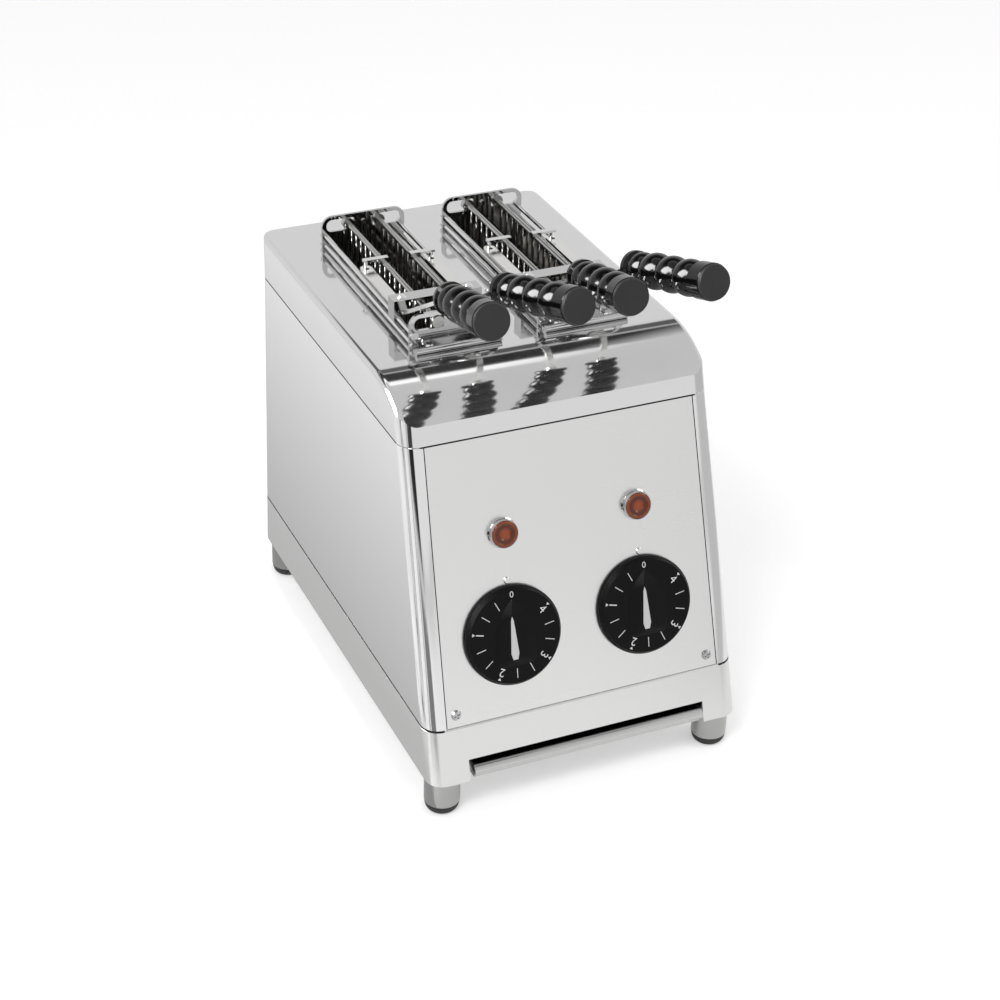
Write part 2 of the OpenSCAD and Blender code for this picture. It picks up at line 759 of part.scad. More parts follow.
// Wire guards along both sides of each slot
module slot_guards() {
    bars = 8;
    rows = [for (k = [0:2]) z_deck - guard_top - k*guard_pitch];
    step = (bulk_in_rear - bulk_in_front)/(bars + 1);
    color(steel) for (s = [-1, 1], g = [-1, 1]) {
        x = s*tong_x + g*guard_x;
        for (z = rows) rod_y(x, bulk_in_front, bulk_in_rear, z, guard_r);
        for (k = [1:bars]) translate([x, bulk_in_front + k*step, rows[2]])
            cylinder(r = guard_r*0.8, h = rows[0] - rows[2]);
    }
}

// Window from x_a to x_b, z_a to z_b, rounded by r at x_a and by q at x_b
function window_points(x_a, x_b, z_a, z_b, r, q) = [
    for (c = [[x_b - q, z_b - q, 0, q], [x_a + r, z_b - r, 90, r],
        [x_a + r, z_a + r, 180, r], [x_b - q, z_a + q, 270, q]], k = [0:4])
        [c[0] + c[3]*cos(c[2] + 22.5*k), c[1] + c[3]*sin(c[2] + 22.5*k)]];

// End plate: head on the deck with two windows, leg down the slot with two more
module end_plate(y) {
    half = boss_r + window_gap;
    translate([0, y + plate_t, 0]) rotate([90, 0, 0]) linear_extrude(plate_t) difference() {
        polygon(concat(
            [[leg_hw, -leg_d], [leg_hw, seat], [plate_hw, seat]],
            [for (k = [0:6]) [plate_hw - plate_r + plate_r*cos(15*k),
                plate_top - plate_r + plate_r*sin(15*k)]],
            [for (k = [0:6]) [-plate_hw + plate_r - plate_r*sin(15*k),
                plate_top - plate_r + plate_r*cos(15*k)]],
            [[-plate_hw, seat], [-leg_hw, seat], [-leg_hw, -leg_d]]));
        for (s = [-1, 1]) {
            hand_of(s) polygon(window_points(window_in, window_out,
                jaw_h - half, jaw_h + half, window_in_r, window_r));
            hand_of(s) polygon(window_points(window_in, leg_hw - leg_rim,
                -jaw_low - half, -jaw_low + half, window_in_r, window_in_r));
            for (z = [rail_low, rail_high]) translate([s*rail_x, z]) circle(r = rail_r + run_gap);
        }
    }
}

// Rear end plate of a tong, with a rivet in its middle
module rear_plate(side) {
    stud_r = 1.8;
    color(steel) on_tong(side) {
        end_plate(rear_plate_y);
        rod_y(0, rear_plate_y - 1, rear_plate_y + plate_t/2, jaw_h, stud_r);
    }
}

// Front end plate of a tong, with a toe that lies on the deck and ends in a rolled edge
toe_t = 2;
toe_hw = plate_hw - 1;
toe_neck = rail_x - nut_r - 0.4;
roll_y = front_plate_y - toe_len + toe_roll_r;
bolt_x = toe_neck - 6;
bolt_y = front_plate_y - 3.2;
bolt_r = 1.6;
module front_plate(side) {
    color(steel) on_tong(side) {
        end_plate(front_plate_y);
        difference() {
            union() {
                block([-toe_hw, roll_y, seat], [toe_hw, front_plate_y - nut_t - 0.4, seat + toe_t]);
                block([-toe_neck, roll_y, seat], [toe_neck, front_plate_y + plate_t/2, seat + toe_t]);
                rod_x(-toe_hw, toe_hw, roll_y, seat + toe_roll_r, toe_roll_r);
            }
            for (s = [-1, 1]) translate([s*bolt_x, bolt_y, -over])
                cylinder(r = bolt_r + run_gap, h = toe_t + 2*over);
        }
    }
}

// Four side rails of a tong, with round nuts outside the end plates
module side_rails(side) {
    color(bright) on_tong(side) for (s = [-1, 1], z = [rail_low, rail_high]) {
        rod_y(s*rail_x, front_plate_y - nut_t, rear_plate_y + plate_t + nut_t, z, rail_r);
        rod_y(s*rail_x, front_plate_y - nut_t, front_plate_y, z, nut_r);
        rod_y(s*rail_x, rear_plate_y + plate_t, rear_plate_y + plate_t + nut_t, z, nut_r);
    }
}

// Bridge over the slot that carries the pivots, hooked on the upper rails, with a tab in front of each
bridge_hw = 5;
bridge_leg = 2.4;
tab_t = 1.3;
tab_in = 2.8;
tab_over = 1;
module pivot_bridge(side) {
    leg_x = rail_x + 0.2;
    color(steel) on_tong(side) difference() {
        union() {
            block([-leg_x - bridge_leg, pivot_y - bridge_hw, bridge_h - bridge_t],
                [leg_x + bridge_leg, pivot_y + bridge_hw, bridge_h]);
            for (s = [-1, 1]) hand_of(s)
                block([leg_x, pivot_y - bridge_hw, rail_high - bridge_leg],
                    [leg_x + bridge_leg, pivot_y + bridge_hw, bridge_h]);
            for (s = [-1, 1]) hand_of(s)
                block([arm_x - tab_in, pivot_y - bridge_hw, arm_h + arm_t + tab_over],
                    [leg_x + bridge_leg, pivot_y - bridge_hw + tab_t, bridge_h]);
        }
        for (s = [-1, 1]) {
            rod_y(s*rail_x, pivot_y - 2*bridge_hw, pivot_y + 2*bridge_hw, rail_high, rail_r + run_gap);
            translate([s*arm_x, pivot_y, arm_h]) cylinder(r = pivot_r + run_gap, h = bridge_h);
        }
    }
}

// Pivot pins under the bridge and the two round-head bolts of the toe
module tong_pins(side) {
    head_t = 1;
    head_r = min(pivot_r + 1.2, rail_x - rail_r - arm_x + 0.1);
    color(bright) on_tong(side) for (s = [-1, 1]) {
        translate([s*arm_x, pivot_y, 0]) {
            translate([0, 0, arm_h - slip_gap - head_t]) cylinder(r = head_r, h = head_t);
            translate([0, 0, arm_h - slip_gap - head_t])
                cylinder(r = pivot_r, h = bridge_h - arm_h + slip_gap + head_t + over/2);
            translate([0, 0, bridge_h]) cylinder(r1 = pivot_r + 1, r2 = pivot_r, h = head_t);
        }
        translate([s*bolt_x, bolt_y, seat]) {
            cylinder(r = bolt_r, h = toe_t + over);
            translate([0, 0, toe_t]) cylinder(r1 = bolt_r + 1.1, r2 = bolt_r + 0.5, h = 1.6*head_t);
        }
    }
}

// Torsion spring round a pivot pin: one unbroken wire
spring_r = pivot_r + 0.6 + spring_wire_r;
spring_room = bridge_h - bridge_t - arm_h - arm_t;
spring_pitch = (spring_room - 2*spring_wire_r - 0.2)/spring_turns;
spring_sides = 6;
spring_rings = 8;
spring_path = [for (i = [0:spring_turns*spring_rings]) let (t = i*360/spring_rings)
    [spring_r*cos(t), spring_r*sin(t), spring_wire_r + spring_pitch*i/spring_rings]];
spring_gap = min([for (i = [0:len(spring_path) - 1], j = [0:len(spring_path) - 1])
    if (j - i >= spring_rings/2) norm(spring_path[j] - spring_path[i])]) - 2*spring_wire_r;
echo(least_spring_gap = spring_gap);

module coil() {
    n = len(spring_path);
    points = [for (i = [0:n - 1], k = [0:spring_sides - 1])
        let (t = i*360/spring_rings, a = k*360/spring_sides)
            spring_path[i] + spring_wire_r*[cos(a)*cos(t), cos(a)*sin(t), sin(a)]];
    faces = concat(
        [[for (k = [spring_sides - 1:-1:0]) k]],
        [[for (k = [0:spring_sides - 1]) (n - 1)*spring_sides + k]],
        [for (i = [0:n - 2], k = [0:spring_sides - 1]) let (m = (k + 1)%spring_sides)
            [i*spring_sides + k, i*spring_sides + m, (i + 1)*spring_sides + m, (i + 1)*spring_sides + k]]);
    polyhedron(points, faces);
}

// Return springs of a tong
module return_springs(side) {
    color(steel) on_tong(side) for (s = [-1, 1]) hand_of(s)
        translate([arm_x, pivot_y, arm_h + arm_t + 0.1]) coil();
}

// Jaw: upper and lower rods with bosses in the windows, a comb of wires and rest hooks
module jaw(side, hand) {
    y_a = front_plate_y - over;
    y_b = rear_plate_y + plate_t + over;
    boss_len = plate_t + 2*over;
    color(steel) on_tong(side) hand_of(hand) {
        for (z = [jaw_h, -jaw_low]) {
            rod_y(jaw_x, y_a, y_b, z, jaw_rod_r);
            rod_y(jaw_x, y_a, y_a + boss_len, z, boss_r);
            rod_y(jaw_x, y_b - boss_len, y_b, z, boss_r);
        }
        for (k = [0:wire_n - 1]) translate([jaw_x, wire_y0 + k*wire_pitch, -jaw_low])
            cylinder(r = wire_r, h = jaw_low + jaw_h);
        for (k = [0:2:wire_n - 1])
            rod_x(jaw_x - jaw_rod_r - hook_len, jaw_x, wire_y0 + k*wire_pitch, -jaw_low, wire_r);
    }
}

// Clip that saddles a jaw rod and carries the drive pin down through the arm
module clip(side, hand) {
    top = jaw_h + jaw_rod_r + run_gap + clip_t;
    color(bright) on_tong(side) hand_of(hand) difference() {
        union() {
            block([jaw_x - jaw_rod_r - clip_wall, clip_y - clip_w/2, jaw_h - jaw_rod_r/2],
                [jaw_x + jaw_rod_r + clip_wall, clip_y + clip_w/2, top]);
            block([jaw_x, clip_y - clip_w/2, top - clip_t], [arm_x + clip_w/2, clip_y + clip_w/2, top]);
            translate([arm_x, clip_y, clip_end]) cylinder(r = clip_pin_r, h = top - clip_end - clip_t/2);
        }
        rod_y(jaw_x, clip_y - clip_w, clip_y + clip_w, jaw_h, jaw_rod_r + run_gap);
    }
}

// Frame of a grip: z along its axis, outwards from its root
module on_grip() {
    translate([root_x, root_y, root_h])
        rotate([0, 0, grip_splay]) rotate([90 - grip_pitch, 0, 0]) children();
}

// Arm: flat bar with a pivot hole and a drive slot, a rising strap and the core rod of the grip
module arm(side, hand) {
    bend = [arm_x, bend_y, arm_h + arm_t/2];
    root = [root_x, root_y, root_h];
    d = root - bend;
    run = norm([d[0], d[1]]);
    turn = atan2(d[0], -d[1]);
    rise = atan2(d[2], run);
    slot_half = 1.6;
    color(steel) on_tong(side) hand_of(hand) {
        difference() {
            union() {
                block([arm_x - arm_w/2, bend_y, arm_h], [arm_x + arm_w/2, clip_y, arm_h + arm_t]);
                translate([arm_x, clip_y, arm_h]) cylinder(r = arm_w/2, h = arm_t);
                rod_x(arm_x - tang_w/2, arm_x + tang_w/2, bend_y, arm_h + arm_t/2, tang_t/2);
            }
            translate([arm_x, pivot_y, arm_h - over]) cylinder(r = pivot_r + run_gap, h = arm_t + 2*over);
            for (s = [-1, 1]) translate([arm_x, clip_y + s*slot_half, arm_h - over])
                cylinder(r = arm_slot_r, h = arm_t + 2*over);
            block([arm_x - arm_slot_r, clip_y - slot_half, arm_h - over],
                [arm_x + arm_slot_r, clip_y + slot_half, arm_h + arm_t + over]);
        }
        translate(bend) rotate([0, 0, turn]) rotate([90 - rise, 0, 0])
            translate([-tang_w/2, -tang_t/2, 0]) cube([tang_w, tang_t, norm(d)]);
        on_grip() translate([0, 0, -core_r]) cylinder(r = core_r, h = core_len + core_r);
    }
}

// Grip radius along its length: flange, a low bulge, full bulges and a plain end
flange_t = 5;
bulge_from = grip_len*0.2;
bulge_len = grip_len*0.21;
function grip_radius(z) = z < bulge_from ?
    grip_waist_r + 0.6*(grip_r - grip_waist_r)*sin(180*(z - flange_t)/(bulge_from - flange_t)) :
    grip_waist_r + (grip_r - grip_waist_r)*abs(sin(180*(z - bulge_from)/bulge_len));

// Black ribbed grip turned about its axis, bored for the core rod
module grip(side, hand) {
    low_steps = 12;
    steps = 48;
    soft = 1;
    color(black) on_tong(side) hand_of(hand) on_grip() difference() {
        rotate_extrude() polygon(concat(
            [[0, 0], [grip_flange_r - soft, 0], [grip_flange_r, soft], [grip_flange_r, flange_t - soft]],
            [for (k = [0:low_steps - 1]) let (z = flange_t + (bulge_from - flange_t)*k/low_steps)
                [grip_radius(z), z]],
            [for (k = [0:steps]) let (z = bulge_from + grip_bulges*bulge_len*k/steps)
                [grip_radius(z), z]],
            [[grip_r, bulge_from + grip_bulges*bulge_len + 3], [grip_r, grip_len - soft/2],
                [grip_r - soft/2, grip_len], [0, grip_len]]));
        translate([0, 0, -over]) cylinder(r = core_r + run_gap, h = core_len + over + slip_gap);
    }
}

// Flat end cap of a grip
module grip_cap(side, hand) {
    color(black) on_tong(side) hand_of(hand) on_grip() translate([0, 0, grip_len])
        cylinder(r1 = grip_r - 0.4, r2 = grip_r - 0.9, h = cap_t);
}

// The left tong
module left_tong_rear_plate() rear_plate(-1);
module left_tong_front_plate() front_plate(-1);
module left_tong_rails() side_rails(-1);
module left_tong_bridge() pivot_bridge(-1);
module left_tong_pins() tong_pins(-1);
module left_tong_springs() return_springs(-1);
module left_tong_left_jaw() jaw(-1, -1);
module left_tong_right_jaw() jaw(-1, 1);
module left_tong_left_clip() clip(-1, -1);
module left_tong_right_clip() clip(-1, 1);
module left_tong_left_arm() arm(-1, -1);
module left_tong_right_arm() arm(-1, 1);
module left_tong_left_grip() grip(-1, -1);
module left_tong_right_grip() grip(-1, 1);
module left_tong_left_cap() grip_cap(-1, -1);
module left_tong_right_cap() grip_cap(-1, 1);

// The right tong
module right_tong_rear_plate() rear_plate(1);
module right_tong_front_plate() front_plate(1);
module right_tong_rails() side_rails(1);
module right_tong_bridge() pivot_bridge(1);
module right_tong_pins() tong_pins(1);
module right_tong_springs() return_springs(1);
module right_tong_left_jaw() jaw(1, -1);
module right_tong_right_jaw() jaw(1, 1);
module right_tong_left_clip() clip(1, -1);
module right_tong_right_clip() clip(1, 1);
module right_tong_left_arm() arm(1, -1);
module right_tong_right_arm() arm(1, 1);
module right_tong_left_grip() grip(1, -1);
module right_tong_right_grip() grip(1, 1);
module right_tong_left_cap() grip_cap(1, -1);
module right_tong_right_cap() grip_cap(1, 1);

base_frame();
body_wrap();
back_panel();
top_cover();
front_panel();
panel_screws();
lamp_bezels();
lamp_lenses();
left_knob();
right_knob();
left_inlay();
right_inlay();
left_shaft();
right_shaft();
left_timer();
right_timer();
crumb_tray();
foot_sleeves();
foot_pads();
cord_gland();
front_bulkhead();
rear_bulkhead();
heater_tubes();
heater_caps();
reflectors();
slot_guards();
left_tong_rear_plate();
left_tong_front_plate();
left_tong_rails();
left_tong_bridge();
left_tong_pins();
left_tong_springs();
left_tong_left_jaw();
left_tong_right_jaw();
left_tong_left_clip();
left_tong_right_clip();
left_tong_left_arm();
left_tong_right_arm();
left_tong_left_grip();
left_tong_right_grip();
left_tong_left_cap();
left_tong_right_cap();
right_tong_rear_plate();
right_tong_front_plate();
right_tong_rails();
right_tong_bridge();
right_tong_pins();
right_tong_springs();
right_tong_left_jaw();
right_tong_right_jaw();
right_tong_left_clip();
right_tong_right_clip();
right_tong_left_arm();
right_tong_right_arm();
right_tong_left_grip();
right_tong_right_grip();
right_tong_left_cap();
right_tong_right_cap();
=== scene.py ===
# A two-slot tong toaster for sandwiches: a leaning box of folded stainless steel with a
# polished cover, two timer dials, a crumb tray and two wire tongs that lift out of the deck.
import math
import bmesh
import bpy
from mathutils import Matrix, Vector


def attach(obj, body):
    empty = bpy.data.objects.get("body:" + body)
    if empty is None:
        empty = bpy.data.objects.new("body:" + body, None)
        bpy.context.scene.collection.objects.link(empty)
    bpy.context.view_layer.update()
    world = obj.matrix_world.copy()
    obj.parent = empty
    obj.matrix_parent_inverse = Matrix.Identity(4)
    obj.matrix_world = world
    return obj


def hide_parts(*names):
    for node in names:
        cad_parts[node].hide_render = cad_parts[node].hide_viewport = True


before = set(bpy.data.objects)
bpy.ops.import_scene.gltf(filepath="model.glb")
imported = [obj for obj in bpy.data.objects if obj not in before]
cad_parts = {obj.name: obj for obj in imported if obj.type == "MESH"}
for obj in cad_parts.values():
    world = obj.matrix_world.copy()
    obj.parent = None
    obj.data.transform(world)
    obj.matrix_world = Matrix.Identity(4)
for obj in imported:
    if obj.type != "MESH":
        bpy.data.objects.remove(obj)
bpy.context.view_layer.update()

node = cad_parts


# The studio: a white floor under a pale ceiling, one soft lamp over the left shoulder of the
# camera and a weak one on the right. Cards round the table, seen only by shiny surfaces, give
# polished steel the dark and pale bands that it has in a real room.
class Finish:
    """A socket of a node tree. Sums on it add Math nodes, and node() adds any other node."""

    def __init__(self, tree, socket=None):
        self.tree, self.socket = tree, socket

    def node(self, kind, settings=None, sockets=None, out=0):
        made = self.tree.nodes.new("ShaderNode" + kind)
        for key, value in (settings or {}).items():
            if key == "stops":
                ramp = made.color_ramp
                ramp.elements.remove(ramp.elements[1])
                ramp.elements[0].position, ramp.elements[0].color = value[0][0], (*value[0][1], 1)
                for place, colour in value[1:]:
                    ramp.elements.new(place).color = (*colour, 1)
            else:
                setattr(made, key, value)
        for key, value in (sockets or {}).items():
            if isinstance(value, Finish):
                self.tree.links.new(value.socket, made.inputs[key])
            else:
                made.inputs[key].default_value = value
        return Finish(self.tree, made.outputs[out] if made.outputs else None)

    def sum(self, operation, a, b):
        return self.node("Math", {"operation": operation}, {0: a, 1: b})

    def __add__(self, other):
        return self.sum("ADD", self, other)

    __radd__ = __add__

    def __sub__(self, other):
        return self.sum("SUBTRACT", self, other)

    def __rsub__(self, other):
        return self.sum("SUBTRACT", other, self)

    def __mul__(self, other):
        return self.sum("MULTIPLY", self, other)

    __rmul__ = __mul__

    def __pow__(self, other):
        return self.sum("POWER", self, other)

    def __rpow__(self, other):
        return self.sum("POWER", other, self)


def new_finish(name):
    made = bpy.data.materials.new(name)
    made.use_nodes = True
    made.node_tree.nodes.clear()
    return made, Finish(made.node_tree)


def close_finish(shader):
    shader.node("OutputMaterial", {}, {"Surface": shader})


camera = bpy.data.objects.new("camera", bpy.data.cameras.new("camera"))
bpy.context.scene.collection.objects.link(camera)
bpy.context.scene.camera = camera
camera.data.sensor_width = 36.0
camera.data.lens = 80.68
camera.data.shift_x, camera.data.shift_y = 0.0163, -0.0509
camera.data.clip_start, camera.data.clip_end = 0.05, 50
turn, tilt, roll = math.radians(23.963), math.radians(29.779), math.radians(1.215)
back = Vector((-math.sin(turn) * math.cos(tilt), -math.cos(turn) * math.cos(tilt), math.sin(tilt)))
right = (-back).cross(Vector((0, 0, 1))).normalized()
up = right.cross(-back)
side = math.cos(roll) * right + math.sin(roll) * up
top = -math.sin(roll) * right + math.cos(roll) * up
stand = Vector((-0.5100, -1.1406, 0.8671))
camera.matrix_world = Matrix.Translation(stand) @ Matrix((side, top, back)).transposed().to_4x4()

bpy.context.scene.view_settings.view_transform = "Standard"
world = bpy.data.worlds.new("white_room")
bpy.context.scene.world = world
world.use_nodes = True
world.node_tree.nodes.clear()
room = Finish(world.node_tree)
# Seen straight, in a shiny surface or through a clear one, the room is pale; as a lamp it is weaker
seen = room.node("LightPath", out="Is Camera Ray")
shiny = room.node("LightPath", out="Is Glossy Ray")
through = room.node("LightPath", out="Is Transmission Ray")
direct = room.sum("MINIMUM", seen + shiny + through, 1.0)
height = room.node("SeparateXYZ", {}, {0: room.node("TexCoord", out="Generated")}, out=2)
ceiling = room.node("ValToRGB", {"stops": (
    (0.0, (0.92, 0.92, 0.92)), (0.45, (0.84, 0.84, 0.84)),
    (0.8, (0.72, 0.72, 0.72)), (1.0, (0.68, 0.68, 0.68)))}, {0: height})
fill = room.node("Background", {}, {"Color": (1, 1, 1, 1), "Strength": 0.55})
white = room.node("Background", {}, {"Color": ceiling, "Strength": 1.0})
sky = room.node("MixShader", {}, {0: direct, 1: fill, 2: white})
sky.node("OutputWorld", {}, {"Surface": sky})

floor_mesh = bmesh.new()
bmesh.ops.create_grid(floor_mesh, x_segments=1, y_segments=1, size=6.0)
floor_data = bpy.data.meshes.new("floor")
floor_mesh.to_mesh(floor_data)
floor = bpy.data.objects.new("floor", floor_data)
bpy.context.scene.collection.objects.link(floor)
floor_paint, paint = new_finish("floor_paint")
spot = paint.node("TexCoord", out="Object")
cloud = paint.node("TexNoise", {}, {"Vector": spot, "Scale": 3.0, "Detail": 2.0})
pale = paint.node("Mix", {"data_type": "RGBA"}, {
    0: cloud, 6: (0.86, 0.86, 0.86, 1), 7: (0.88, 0.88, 0.88, 1)}, out=2)
matte = paint.node("BsdfPrincipled", {}, {"Base Color": pale, "Roughness": 0.9, "Specular IOR Level": 0.1})
# The camera sees the floor lifted towards white, and shiny surfaces see it lifted in part
lift = paint.node("Emission", {}, {"Color": (1, 1, 1, 1), "Strength": 0.36})
lifted = paint.node("AddShader", {}, {0: matte, 1: lift})
shiny_share = 0.55
to_camera = paint.node("LightPath", out="Is Camera Ray")
to_shiny = paint.node("LightPath", out="Is Glossy Ray")
close_finish(paint.node("MixShader", {}, {0: to_camera + shiny_share * to_shiny, 1: matte, 2: lifted}))
floor_data.materials.append(floor_paint)

for name, place, aim, wide, power in (
    ("key_lamp", (-1.3, -1.2, 2.1), (0, 0, 0.1), 0.8, 24),
    ("fill_lamp", (1.7, -0.9, 1.4), (0, 0, 0.15), 0.8, 7),
):
    lamp = bpy.data.objects.new(name, bpy.data.lights.new(name, "AREA"))
    lamp.data.shape, lamp.data.size, lamp.data.energy = "SQUARE", wide, power
    lamp.location = place
    lamp.rotation_euler = (Vector(aim) - Vector(place)).to_track_quat("-Z", "Y").to_euler()
    bpy.context.scene.collection.objects.link(lamp)

# Each card fills a patch of a dome round the front left corner: between two compass bearings,
# counted to the left from the front, and two heights in degrees; below zero it ends on the floor.
# It fades out towards its edges.
card_mesh = bmesh.new()
solid = card_mesh.verts.layers.float.new("solid")
dome = Vector((-0.09, -0.12, 0.2))
dome_reach = 2.5
floor_gap = 0.002
nearly_level = -0.05
cuts = 8


def on_dome(bearing, height):
    a, h = math.radians(bearing), math.radians(height)
    way = Vector((-math.sin(a) * math.cos(h), -math.cos(a) * math.cos(h), math.sin(h)))
    if way.z > nearly_level:
        return dome + dome_reach * way
    return dome + min(dome_reach, (dome.z - floor_gap) / -way.z) * way


tones = {"black_card": 0.02, "dim_card": 0.1, "dark_card": 0.24, "grey_card": 0.62,
         "white_card": 1.15, "soft_box": 30.0, "bright_card": 1.4}
for tone, start, end, low, high in (
    ("black_card", 24, 52, -5, 14), ("dark_card", 24, 52, -34, -5), ("grey_card", 52, 60, -50, 4),
    ("grey_card", 78, 86, -55, 4), ("dark_card", 86, 98, -55, 4), ("white_card", 101, 144, -65, -8),
    ("grey_card", -115, -33, -25, 5), ("dim_card", 130, 232, 31, 39), ("black_card", 130, 232, 39, 52),
    ("bright_card", 130, 232, 52, 57), ("soft_box", 97, 129, 12, 54),
):
    grid = [[card_mesh.verts.new(on_dome(start + (end - start) * i / cuts, low + (high - low) * j / cuts))
             for j in range(cuts + 1)] for i in range(cuts + 1)]
    for i in range(cuts + 1):
        for j in range(cuts + 1):
            grid[i][j][solid] = float(0 < i < cuts and 0 < j < cuts)
    for i in range(cuts):
        for j in range(cuts):
            face = card_mesh.faces.new((grid[i][j], grid[i + 1][j], grid[i + 1][j + 1], grid[i][j + 1]))
            face.material_index = list(tones).index(tone)
card_data = bpy.data.meshes.new("reflected_cards")
card_mesh.to_mesh(card_data)
card = bpy.data.objects.new("reflected_cards", card_data)
for name, strength in tones.items():
    card_paint, paint = new_finish(name)
    close_finish(paint.node("MixShader", {}, {
        0: paint.node("Attribute", {"attribute_name": "solid"}, out="Fac"),
        1: paint.node("BsdfTransparent"),
        2: paint.node("Emission", {}, {"Color": (1, 1, 1, 1), "Strength": strength})}))
    card_data.materials.append(card_paint)

# A glowing strip on the floor beside the left wall, seen only by shiny surfaces: painted shade of the
# floor, dim near the wall and pale further out
strip_mesh = bmesh.new()
strip_wide, strip_long = 0.9, 1.4
strip_mesh.faces.new([strip_mesh.verts.new((x, y, 0)) for x, y in (
    (-strip_wide, 0), (0, 0), (0, strip_long), (-strip_wide, strip_long))])
strip_data = bpy.data.meshes.new("dim_strip")
strip_mesh.to_mesh(strip_data)
strip = bpy.data.objects.new("dim_strip", strip_data)
strip.location = (-0.1, -0.16, floor_gap)
strip_paint, paint = new_finish("dim_strip")
across = -1 * paint.node("SeparateXYZ", {}, {0: paint.node("TexCoord", out="Object")}, out=0)
# Painted shade: the glow is dim near the wall and pale further out
dim_end, pale_start = 0.035, 0.17
paleness = paint.node("MapRange", {}, {0: across, 1: dim_end, 2: pale_start})
dim_glow, pale_glow = (
    paint.node("Emission", {}, {"Color": (1, 1, 1, 1), "Strength": v}) for v in (0.57, 0.94))
close_finish(paint.node("MixShader", {}, {0: paleness, 1: dim_glow, 2: pale_glow}))
strip_data.materials.append(strip_paint)
for thing in (card, strip):
    bpy.context.scene.collection.objects.link(thing)
    thing.visible_camera = thing.visible_diffuse = thing.visible_shadow = thing.visible_transmission = False


# The base: one band of 2 mm stainless sheet folded round the foot of the housing, with a
# ledge that the wrap stands on and a notch in front for the tray. Fine satin, brushed along
# the sheet, duller in faint patches where it is handled.
def smooth_edges(piece, angle=32):
    # One pair of modifiers: join the doubled corners, shade soft below the angle, keep flats flat
    group = bpy.data.node_groups.get("smooth_edges_%d" % angle)
    if group is None:
        group = bpy.data.node_groups.new("smooth_edges_%d" % angle, "GeometryNodeTree")
        for way in ("INPUT", "OUTPUT"):
            group.interface.new_socket("Geometry", in_out=way, socket_type="NodeSocketGeometry")
        make, link = group.nodes.new, group.links.new
        start, end = make("NodeGroupInput"), make("NodeGroupOutput")
        bare = make("GeometryNodeRemoveAttribute")
        bare.inputs["Name"].default_value = "custom_normal"
        join = make("GeometryNodeMergeByDistance")
        join.inputs["Distance"].default_value = 0.000004
        soft, hard = make("GeometryNodeSetShadeSmooth"), make("GeometryNodeSetShadeSmooth")
        soft.domain, hard.domain = "FACE", "EDGE"
        soft.inputs["Shade Smooth"].default_value = True
        hard.inputs["Shade Smooth"].default_value = False
        bend, sharp = make("GeometryNodeInputMeshEdgeAngle"), make("FunctionNodeCompare")
        sharp.data_type, sharp.operation = "FLOAT", "GREATER_THAN"
        sharp.inputs[1].default_value = math.radians(angle)
        link(start.outputs[0], bare.inputs[0])
        link(bare.outputs[0], join.inputs[0])
        link(join.outputs[0], soft.inputs[0])
        link(soft.outputs[0], hard.inputs[0])
        link(bend.outputs["Unsigned Angle"], sharp.inputs[0])
        link(sharp.outputs[0], hard.inputs["Selection"])
        link(hard.outputs[0], end.inputs[0])
    piece.modifiers.new("smooth_edges", "NODES").node_group = group
    flats = piece.modifiers.new("true_flats", "WEIGHTED_NORMAL")
    flats.mode, flats.weight, flats.keep_sharp = "FACE_AREA_WITH_ANGLE", 100, True


def dress(finish, *pieces, angle=32):
    for piece in pieces:
        piece.data.materials.clear()
        piece.data.materials.append(finish)
        smooth_edges(piece, angle)


def brushed(name, tone, dull, grain, spread=0.1, depth=0.04, streak=0.055, metal=1.0):
    # grain is how fine the marks are along x, y and z; dull is the roughness, spread how far it varies,
    # depth the relief of the marks, streak how far the tone varies, metal less than 1 for a hazy polish
    made, steel = new_finish(name)
    place = steel.node("TexCoord", out="Object")
    drawn = steel.node("Mapping", {}, {"Vector": place, "Scale": grain})
    line = steel.node("TexNoise", {}, {"Vector": drawn, "Scale": 1.0, "Detail": 4.0})
    patch = steel.node("TexNoise", {}, {"Vector": place, "Scale": 11.0, "Detail": 3.0})
    dark, light = (tuple(c * f for c in tone) + (1,) for f in (1 - streak, 1 + streak))
    colour = steel.node("Mix", {"data_type": "RGBA"}, {0: line, 6: dark, 7: light}, out=2)
    patch_share = 0.6
    rough = dull + (line - 0.5) * spread + (patch - 0.5) * spread * patch_share
    relief = steel.node("Bump", {}, {"Strength": depth, "Distance": 0.0004, "Height": line})
    close_finish(steel.node("BsdfPrincipled", {}, {
        "Base Color": colour, "Metallic": metal, "Roughness": rough, "Normal": relief}))
    return made


base_satin = brushed("base_satin", (0.74, 0.74, 0.735), 0.24, (30, 30, 2600), 0.05, 0.006, 0.02)
dress(base_satin, node["base_frame"])


# The feet: four drawn steel sleeves under the base, each with a black rubber pad pressed
# into it. The rubber is matte, greyed in patches with dust.
sleeve_satin = brushed("sleeve_satin", (0.42, 0.42, 0.415), 0.22, (40, 40, 1800))
dress(sleeve_satin, node["foot_sleeves"])
foot_rubber, rubber = new_finish("foot_rubber")
place = rubber.node("TexCoord", out="Object")
grit = rubber.node("TexNoise", {}, {"Vector": place, "Scale": 900.0, "Detail": 3.0})
dust = rubber.node("TexNoise", {}, {"Vector": place, "Scale": 60.0, "Detail": 4.0})
close_finish(rubber.node("BsdfPrincipled", {}, {
    "Base Color": rubber.node("Mix", {"data_type": "RGBA"}, {
        0: dust, 6: (0.012, 0.012, 0.012, 1), 7: (0.03, 0.029, 0.028, 1)}, out=2),
    "Roughness": 0.5 + 0.2 * grit,
    "Normal": rubber.node("Bump", {}, {"Strength": 0.25, "Distance": 0.0003, "Height": grit})}))
dress(foot_rubber, node["foot_pads"])


